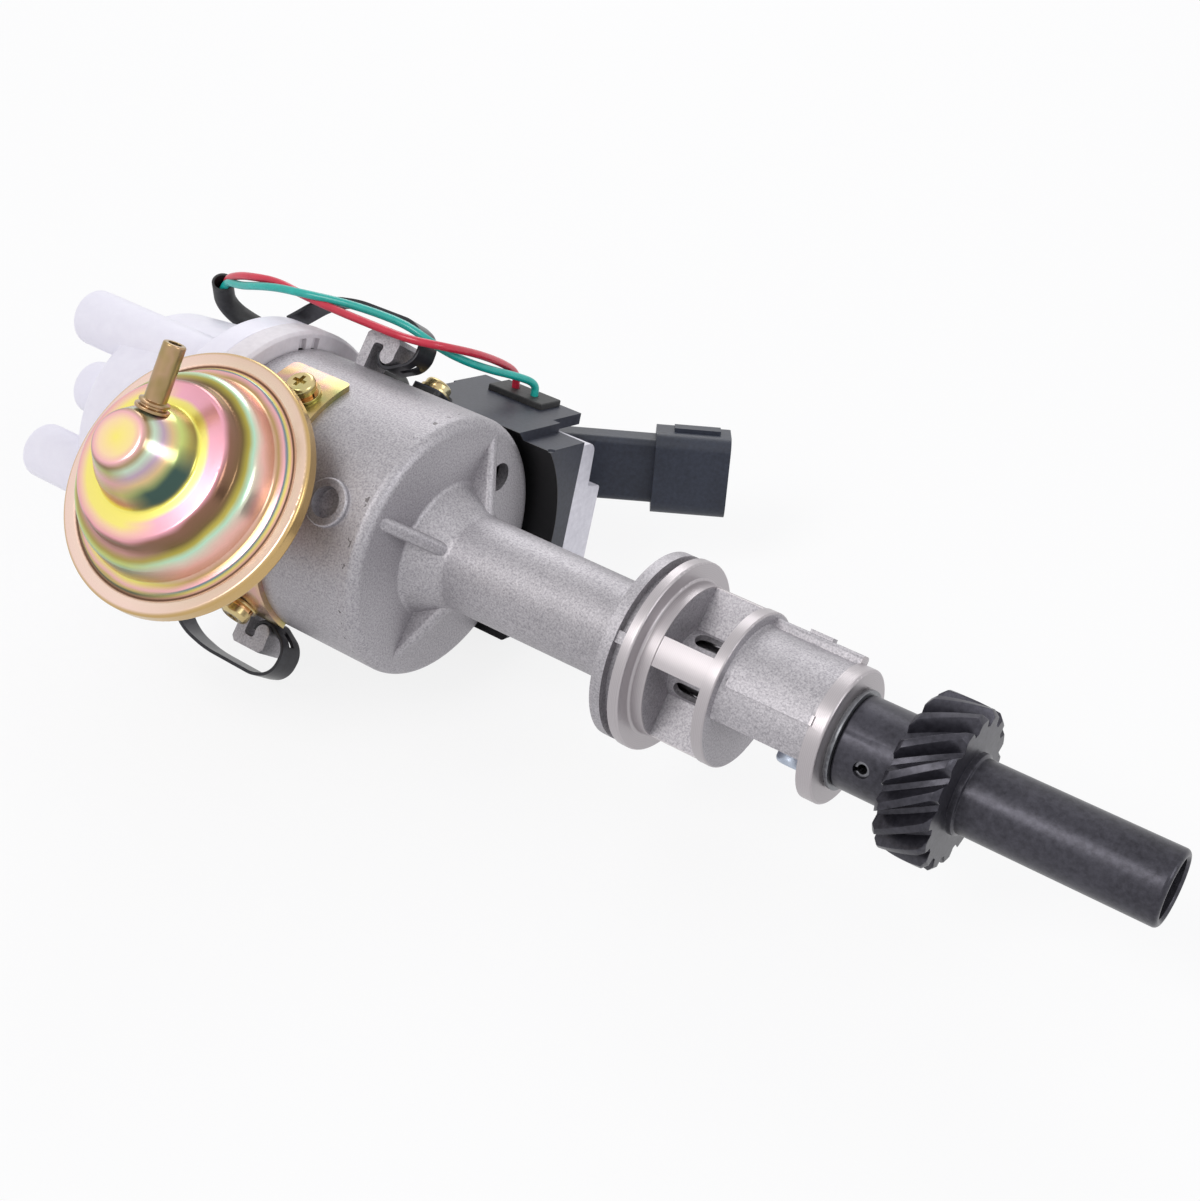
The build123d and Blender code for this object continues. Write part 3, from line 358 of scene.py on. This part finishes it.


# the pressed canister: where it stands, and the rings of its rainbow passivation, mixed with painted highlights and
# reflections and split into a painted lit and a painted shaded side
canister = {
    "angle": 53.3, "x": -116.5, "offset": -18.2, "rimRadius": 34.8, "metallic": 0.88, "roughness": 0.25,
    "shadedBands": (                                     # share of the rim radius, colour there; the rings on the side in painted shade
        (0.00, (0.93, 0.80, 0.20)), (0.13, (0.93, 0.68, 0.42)), (0.185, (0.86, 0.46, 0.50)),
        (0.215, (0.24, 0.17, 0.08)), (0.24, (0.42, 0.42, 0.16)), (0.29, (0.66, 0.36, 0.36)),
        (0.335, (0.48, 0.38, 0.14)), (0.372, (0.52, 0.24, 0.20)), (0.392, (0.92, 0.82, 0.18)),
        (0.50, (0.92, 0.80, 0.22)), (0.545, (0.90, 0.60, 0.42)), (0.59, (0.82, 0.40, 0.44)),
        (0.612, (0.20, 0.10, 0.06)), (0.65, (0.50, 0.27, 0.24)), (0.69, (0.40, 0.32, 0.09)),
        (0.72, (0.52, 0.58, 0.20)), (0.75, (0.22, 0.38, 0.30)), (0.785, (0.80, 0.70, 0.18)),
        (0.825, (0.78, 0.44, 0.44)), (0.845, (0.52, 0.40, 0.14)), (0.858, (0.09, 0.14, 0.11)),
        (0.870, (0.40, 0.26, 0.16)), (0.884, (0.62, 0.40, 0.32)), (0.90, (0.84, 0.64, 0.54)),
        (0.97, (0.84, 0.62, 0.54)), (0.99, (0.56, 0.38, 0.16)),
    ),
    # the same rings on the side in painted light, with painted highlights
    "litBands": (
        (0.00, (0.93, 0.80, 0.22)), (0.12, (0.93, 0.74, 0.34)), (0.18, (0.88, 0.48, 0.50)),
        (0.213, (0.40, 0.30, 0.16)), (0.235, (0.56, 0.70, 0.54)), (0.268, (0.50, 0.36, 0.46)),
        (0.303, (0.70, 0.50, 0.26)), (0.340, (0.56, 0.64, 0.20)), (0.372, (0.40, 0.34, 0.10)),
        (0.386, (0.30, 0.26, 0.08)), (0.40, (0.90, 0.80, 0.16)), (0.445, (0.90, 0.78, 0.24)),
        (0.475, (0.88, 0.44, 0.54)), (0.575, (0.84, 0.40, 0.48)), (0.605, (0.26, 0.13, 0.09)),
        (0.645, (0.17, 0.115, 0.045)), (0.685, (0.42, 0.36, 0.07)), (0.715, (0.48, 0.72, 0.54)),
        (0.75, (0.84, 0.50, 0.44)), (0.79, (0.44, 0.29, 0.12)), (0.83, (0.80, 0.42, 0.46)),
        (0.846, (0.10, 0.21, 0.27)), (0.858, (0.74, 0.64, 0.18)), (0.870, (0.70, 0.42, 0.36)),
        (0.884, (0.60, 0.38, 0.30)), (0.90, (0.74, 0.58, 0.45)), (0.97, (0.72, 0.53, 0.42)),
        (0.99, (0.56, 0.38, 0.16)),
    ),
    "wanderScale": 34, "wander": 0.075, "wanderEnds": 0.84,         # how far the rings stray, and the share where not
    # the angle of the side in painted light, how far its edge strays, and the ramp from painted shade to painted
    # light
    "litSide": 22.0, "sideScale": 22, "sideStray": 0.7, "sideRamp": (0.36, 0.66),
    "crescent": {                                        # dark reflection at the foot of the cone
        "middle": -22.0, "facing": (0.60, 0.90), "shares": (0.305, 0.35, 0.385, 0.40), "tone": (0.055, 0.10, 0.085),
    },
    "shadedRimGroove": {                                         # painted shade in the groove inside the crimped rim, and its rougher crease
        "shares": (0.872, 0.887), "tone": (0.30, 0.19, 0.135), "crease": (0.852, 0.899), "creaseRoughness": 0.35,
    },
    "dimpleScale": 520, "dimpleStrength": 0.10, "dimpleDepth": 0.00004,
    "middleGuard": 0.0005,                               # metres, keeps the division finite in the middle
}
zincSkin = {
    "base": (0.8, 0.66, 0.42), "metallic": 0.92, "patchScale": 75,
    "dimpleScale": 420, "dimpleStrength": 0.12, "dimpleDepth": 0.00005,
}
zincLooks = {                                            # noise value, colour
    "rainbowZinc": ((0.30, (0.34, 0.35, 0.14)), (0.42, (0.52, 0.40, 0.18)), (0.50, (0.56, 0.38, 0.22)),
                    (0.58, (0.54, 0.31, 0.27)), (0.68, (0.40, 0.36, 0.26))),
    "screwZinc": ((0.30, (0.48, 0.45, 0.20)), (0.45, (0.62, 0.50, 0.25)), (0.58, (0.52, 0.40, 0.20)),
                  (0.70, (0.60, 0.54, 0.34))),
    "nippleZinc": ((0.30, (0.28, 0.25, 0.09)), (0.44, (0.37, 0.27, 0.12)), (0.52, (0.44, 0.29, 0.17)),
                   (0.60, (0.31, 0.23, 0.09)), (0.70, (0.48, 0.41, 0.20))),
    "copperedZinc": ((0.35, (0.56, 0.24, 0.10)), (0.50, (0.72, 0.40, 0.20)), (0.65, (0.62, 0.46, 0.22))),
}


def passivated(name, roughness=0.24):                    # yellow zinc with its rainbow in patches
    made, tree, shader = finish(name, zincSkin["base"], zincSkin["metallic"], roughness)
    coords = objectCoords(tree)
    patches = noise(tree, coords, zincSkin["patchScale"], 2.0)
    tree.links.new(ramp(tree, patches, zincLooks[name]), shader.inputs["Base Color"])
    dimples = noise(tree, coords, zincSkin["dimpleScale"], 4.0)
    bump(tree, shader, dimples, zincSkin["dimpleStrength"], zincSkin["dimpleDepth"])
    return made


def canisterPlane(tree, coords):                         # the two distances from the canister's own axis
    outward, sideways = radial(canister["angle"]), around(canister["angle"])
    turn = Matrix((Vector((1, 0, 0)), sideways, outward))
    local = addNode(tree, "ShaderNodeMapping", vector_type="TEXTURE")
    local.inputs["Location"].default_value = at(canister["angle"], canister["x"], 0, canister["offset"])
    local.inputs["Rotation"].default_value = turn.transposed().to_euler()
    tree.links.new(coords, local.inputs["Vector"])
    split = addNode(tree, "ShaderNodeSeparateXYZ")
    tree.links.new(local.outputs[0], split.inputs[0])
    return split.outputs[0], split.outputs[1]


def facing(tree, x, y, out, angle):                      # 1 on the side at that angle, -1 on the other
    turn = radians(angle)
    along = mathNode(tree, "ADD", mathNode(tree, "MULTIPLY", x, cos(turn)), mathNode(tree, "MULTIPLY", y, sin(turn)))
    return mathNode(tree, "DIVIDE", along, mathNode(tree, "ADD", out, canister["middleGuard"]))


def ringedGoldAndPaintedLight():                                        # the same zinc in rings, as on the pressed canister, with painted highlights, reflections and shade
    made, tree, shader = finish("canisterGoldAndPaintedLight", zincSkin["base"], canister["metallic"], canister["roughness"])
    black, white = (0, 0, 0), (1, 1, 1)
    coords = objectCoords(tree)
    x, y = canisterPlane(tree, coords)
    out = length(tree, x, y)
    share = mathNode(tree, "DIVIDE", out, canister["rimRadius"] * mm)
    drift = noise(tree, coords, canister["wanderScale"], 3.0)
    wander = mathNode(tree, "MULTIPLY_ADD", drift, canister["wander"], -canister["wander"] / 2)
    wander = mathNode(tree, "MULTIPLY", wander, mathNode(tree, "LESS_THAN", share, canister["wanderEnds"]))
    moved = mathNode(tree, "ADD", share, wander)

    # which side shows the rings in painted light and which in painted shade
    stray = noise(tree, coords, canister["sideScale"], 2.0)
    stray = mathNode(tree, "MULTIPLY_ADD", stray, canister["sideStray"], -canister["sideStray"] / 2)
    side = mathNode(tree, "ADD", facing(tree, x, y, out, canister["litSide"]), stray)
    side = mathNode(tree, "MULTIPLY_ADD", side, 0.5, 0.5)
    side = ramp(tree, side, tuple(zip(canister["sideRamp"], (black, white))))
    shaded = ramp(tree, moved, canister["shadedBands"])
    lit = ramp(tree, moved, canister["litBands"])
    colour = mixColour(tree, side, shaded, lit)

    crescent = canister["crescent"]
    fade = ramp(tree, facing(tree, x, y, out, crescent["middle"]), tuple(zip(crescent["facing"], (black, white))))
    band = ramp(tree, moved, tuple(zip(crescent["shares"], (black, white, white, black))))
    colour = mixColour(tree, mathNode(tree, "MULTIPLY", band, fade), colour, crescent["tone"])

    shadedRimGroove = canister["shadedRimGroove"]
    # painted shade along the groove inside the crimped rim
    colour = mixColour(tree, between(tree, share, *shadedRimGroove["shares"]), colour, shadedRimGroove["tone"])
    tree.links.new(colour, shader.inputs["Base Color"])
    crease = between(tree, share, *shadedRimGroove["crease"])
    rough = mathNode(tree, "MULTIPLY_ADD", crease, shadedRimGroove["creaseRoughness"], canister["roughness"])
    tree.links.new(rough, shader.inputs["Roughness"])
    dimples = noise(tree, coords, canister["dimpleScale"], 4.0)
    bump(tree, shader, dimples, canister["dimpleStrength"], canister["dimpleDepth"])
    return made


# one finish per material slot: dark tone, light tone, metallic, roughness, grain scale
finishes = {
    "cast_aluminium": castAluminium(),
    "machined_aluminium": grainy("paleAluminium", (0.60, 0.59, 0.65), (0.74, 0.73, 0.79), 0.45, 0.42, 500),
    "dark_steel": grainy("phosphatedSteel", (0.021, 0.020, 0.027), (0.060, 0.058, 0.073), 0.6, 0.34, 700,
                         depth=0.00005, strength=0.35),
    "bright_steel": grainy("groundSteel", (0.42, 0.42, 0.43), (0.60, 0.60, 0.61), 1.0, 0.28, 800),
    "spring_steel": grainy("blackSpringSteel", (0.010, 0.010, 0.013), (0.028, 0.028, 0.035), 0.35, 0.32, 500),
    "yellow_zinc": passivated("rainbowZinc"),
    "brass": grainy("brass", (0.46, 0.33, 0.13), (0.62, 0.47, 0.22), 1.0, 0.26, 600),
    "bush_bronze": grainy("sinteredBronze", (0.36, 0.22, 0.10), (0.52, 0.36, 0.20), 0.9, 0.45, 1400),
    "blue_zinc": grainy("bluePlate", (0.36, 0.41, 0.50), (0.50, 0.55, 0.64), 0.8, 0.38, 600),
    "cap_plastic": grainy("paleCap", (0.84, 0.82, 0.91), (0.89, 0.875, 0.955), 0.0, 0.34, 260,
                          depth=0.00003, strength=0.15),
    "ring_plastic": grainy("paleRing", (0.72, 0.68, 0.71), (0.82, 0.78, 0.81), 0.0, 0.5, 500),
    "black_plastic": grainy("slatePlastic", (0.011, 0.014, 0.024), (0.025, 0.031, 0.050), 0.0, 0.46, 900,
                            depth=0.00005),
    "carbon": grainy("carbonBrush", (0.02, 0.02, 0.02), (0.05, 0.05, 0.05), 0.1, 0.7, 900),
    "black_rubber": grainy("blackRubber", (0.012, 0.012, 0.012), (0.03, 0.03, 0.031), 0.0, 0.6, 700),
    "magnet": grainy("sinteredMagnet", (0.08, 0.08, 0.085), (0.16, 0.16, 0.17), 0.5, 0.6, 900),
    "red_wire": grainy("redInsulation", (0.56, 0.013, 0.042), (0.70, 0.026, 0.065), 0.0, 0.3, 260,
                       depth=0.00002, strength=0.1, coat=0.25),
    "green_wire": grainy("greenInsulation", (0.003, 0.36, 0.31), (0.010, 0.49, 0.42), 0.0, 0.3, 260,
                         depth=0.00002, strength=0.1, coat=0.25),
}
canisterGoldAndPaintedLight = ringedGoldAndPaintedLight()
screwZinc = passivated("screwZinc")
special = {                                              # finishes of single nodes, in place of their slot's
    "canister_cover": canisterGoldAndPaintedLight,
    "canister_pan": canisterGoldAndPaintedLight,
    "hose_nipple": passivated("nippleZinc", 0.28),
    "bracket_screws": screwZinc,
    "bracket_flat_washers": screwZinc,
    "bracket_spring_washers": passivated("copperedZinc", 0.25),
    "module_screws": screwZinc,
    "module_washers": screwZinc,
    # the notched ring in painted shade closer to the shaft than 35.2 mm
    "cap_seat_ring": grainy("notchedRing", (0.72, 0.68, 0.71), (0.82, 0.78, 0.81), 0.0, 0.5, 500, shadeWithin=35.2),
    "thrust_washer": grainy("washerSteel", (0.14, 0.145, 0.16), (0.24, 0.245, 0.26), 0.8, 0.35, 800),
    "lower_bushing": grainy("sinteredIron", (0.20, 0.20, 0.21), (0.32, 0.32, 0.33), 0.8, 0.45, 1400),
    # the carrier in painted shade closer to the shaft than 37.55 mm, on its face towards the bowl
    "module_carrier": grainy("carrierPlastic", (0.014, 0.016, 0.025), (0.032, 0.036, 0.054), 0.0, 0.46, 900,
                             depth=0.00005, shadeWithin=37.55),
    "gear_roll_pin": grainy("pinSteel", (0.10, 0.10, 0.11), (0.22, 0.22, 0.24), 0.9, 0.3, 900),
}
print("finishes ready")


# pieces that keep their CAD shape, with their edges softened by this many millimetres
softened = {
    "housing": 0.30, "distributor_cap": 0.35, "cap_seat_ring": 0.25, "module_carrier": 0.30, "heat_sink": 0.35,
    "connector_housing": 0.5, "grommet_plate": 0.15, "igniter_module": 0.0, "canister_bracket": 0.12,
    "bracket_screws": 0.12, "bracket_spring_washers": 0.06, "bracket_flat_washers": 0.06, "module_screws": 0.12,
    "clip_top": 0.10, "clip_bottom": 0.10, "drive_gear": 0.14, "gear_roll_pin": 0.05, "gallery_plug": 0.15,
    "thrust_washer": 0.06, "hose_nipple": 0.08, "canister_cover": 0.0, "canister_pan": 0.0,
}
edges = {"weld": 0.000002, "sharperThan": 32, "segments": 2, "smoothBelow": 34, "smoothUnsoftened": 62}


def softenEdges(copy, width):
    rounding = copy.modifiers.new("rounding", "BEVEL")
    rounding.limit_method = "ANGLE"
    rounding.angle_limit = radians(edges["sharperThan"])
    rounding.width = width * mm
    rounding.segments = edges["segments"]
    rounding.use_clamp_overlap = True
    rounding.miter_outer = "MITER_ARC"
    bpy.ops.object.modifier_apply(modifier="rounding")


def dress(name, width):                                  # a merged copy with softened edges takes the node's place
    copy = bpy.data.objects.new(name + "_dressed", nodes[name].data.copy())
    bpy.context.scene.collection.objects.link(copy)
    pick(copy)
    bpy.ops.mesh.customdata_custom_splitnormals_clear()
    bpy.ops.object.mode_set(mode="EDIT")
    bpy.ops.mesh.select_all(action="SELECT")
    bpy.ops.mesh.remove_doubles(threshold=edges["weld"])
    bpy.ops.object.mode_set(mode="OBJECT")
    if width:
        softenEdges(copy, width)
    bpy.ops.object.shade_smooth_by_angle(angle=radians(edges["smoothBelow" if width else "smoothUnsoftened"]))
    flats = copy.modifiers.new("flats", "WEIGHTED_NORMAL")   # keeps large faces flat beside their rounded edges
    flats.keep_sharp = True
    bpy.ops.object.modifier_apply(modifier="flats")
    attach(copy, bodyOf[name])
    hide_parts(name)
    return copy


def paint(obj, material):                                # one finish all over
    obj.data.materials.clear()
    obj.data.materials.append(material)
    if obj.type == "MESH":
        for face in obj.data.polygons:
            face.material_index = 0


for name, width in softened.items():
    paint(dress(name, width), special.get(name, finishes[slotOf[name]]))
print("outer pieces dressed")

for name, obj in nodes.items():                          # the rest keep their CAD mesh
    if not obj.hide_render:
        for place in obj.material_slots:
            place.material = special.get(name, finishes[slotOf[name]])
print("inner pieces painted")

# the two pickup leads, one smooth line each, in millimetres
cordMesh = {"roundSteps": 6, "lengthSteps": 16}
leads = {
    "red_lead": {
        "radius": 1.1, "finish": "red_wire",
        "points": ((-176.5, 31.3, 25.9), (-173.9, 29.0, 31.8), (-165.9, 26.9, 36.6), (-157.6, 25.9, 39.2),
                   (-149.7, 26.4, 40.2), (-139.6, 25.4, 39.9), (-126.3, 24.7, 39.9), (-113.6, 24.0, 40.4),
                   (-101.6, 24.0, 40.4), (-93.8, 28.2, 39.0), (-92.4, 40.0, 31.5), (-93.3, 51.3, 22.8),
                   (-94.4, 59.6, 15.0), (-94.4, 59.3, 10.5), (-94.4, 57.4, 5.3)),
    },
    "green_lead": {
        "radius": 1.1, "finish": "green_wire",
        "points": ((-176.5, 29.1, 25.2), (-173.3, 28.1, 32.1), (-164.1, 25.4, 34.6), (-155.0, 23.8, 38.3),
                   (-146.8, 23.4, 40.7), (-137.5, 23.5, 42.0), (-128.2, 27.0, 41.2), (-117.7, 28.7, 40.9),
                   (-106.2, 29.4, 40.4), (-98.3, 29.8, 37.5), (-94.9, 35.6, 31.3), (-92.4, 44.6, 24.2),
                   (-90.0, 53.9, 18.2), (-87.8, 59.9, 13.6), (-87.5, 58.6, 10.1), (-87.5, 56.9, 5.5)),
    },
}


def layLead(name, lead):
    curve = bpy.data.curves.new(name + "_line", "CURVE")
    curve.dimensions = "3D"
    curve.bevel_depth = lead["radius"] * mm
    curve.bevel_resolution = cordMesh["roundSteps"]
    curve.resolution_u = cordMesh["lengthSteps"]
    curve.use_fill_caps = True
    line = curve.splines.new("NURBS")
    line.points.add(len(lead["points"]) - 1)
    for point, place in zip(line.points, lead["points"]):
        point.co = (*[v * mm for v in place], 1)
    line.order_u = 3
    line.use_endpoint_u = True
    obj = bpy.data.objects.new(name + "_cord", curve)
    bpy.context.scene.collection.objects.link(obj)
    paint(obj, finishes[lead["finish"]])
    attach(obj, "frame")
    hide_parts(name)


for name, lead in leads.items():
    layLead(name, lead)
print("leads laid")
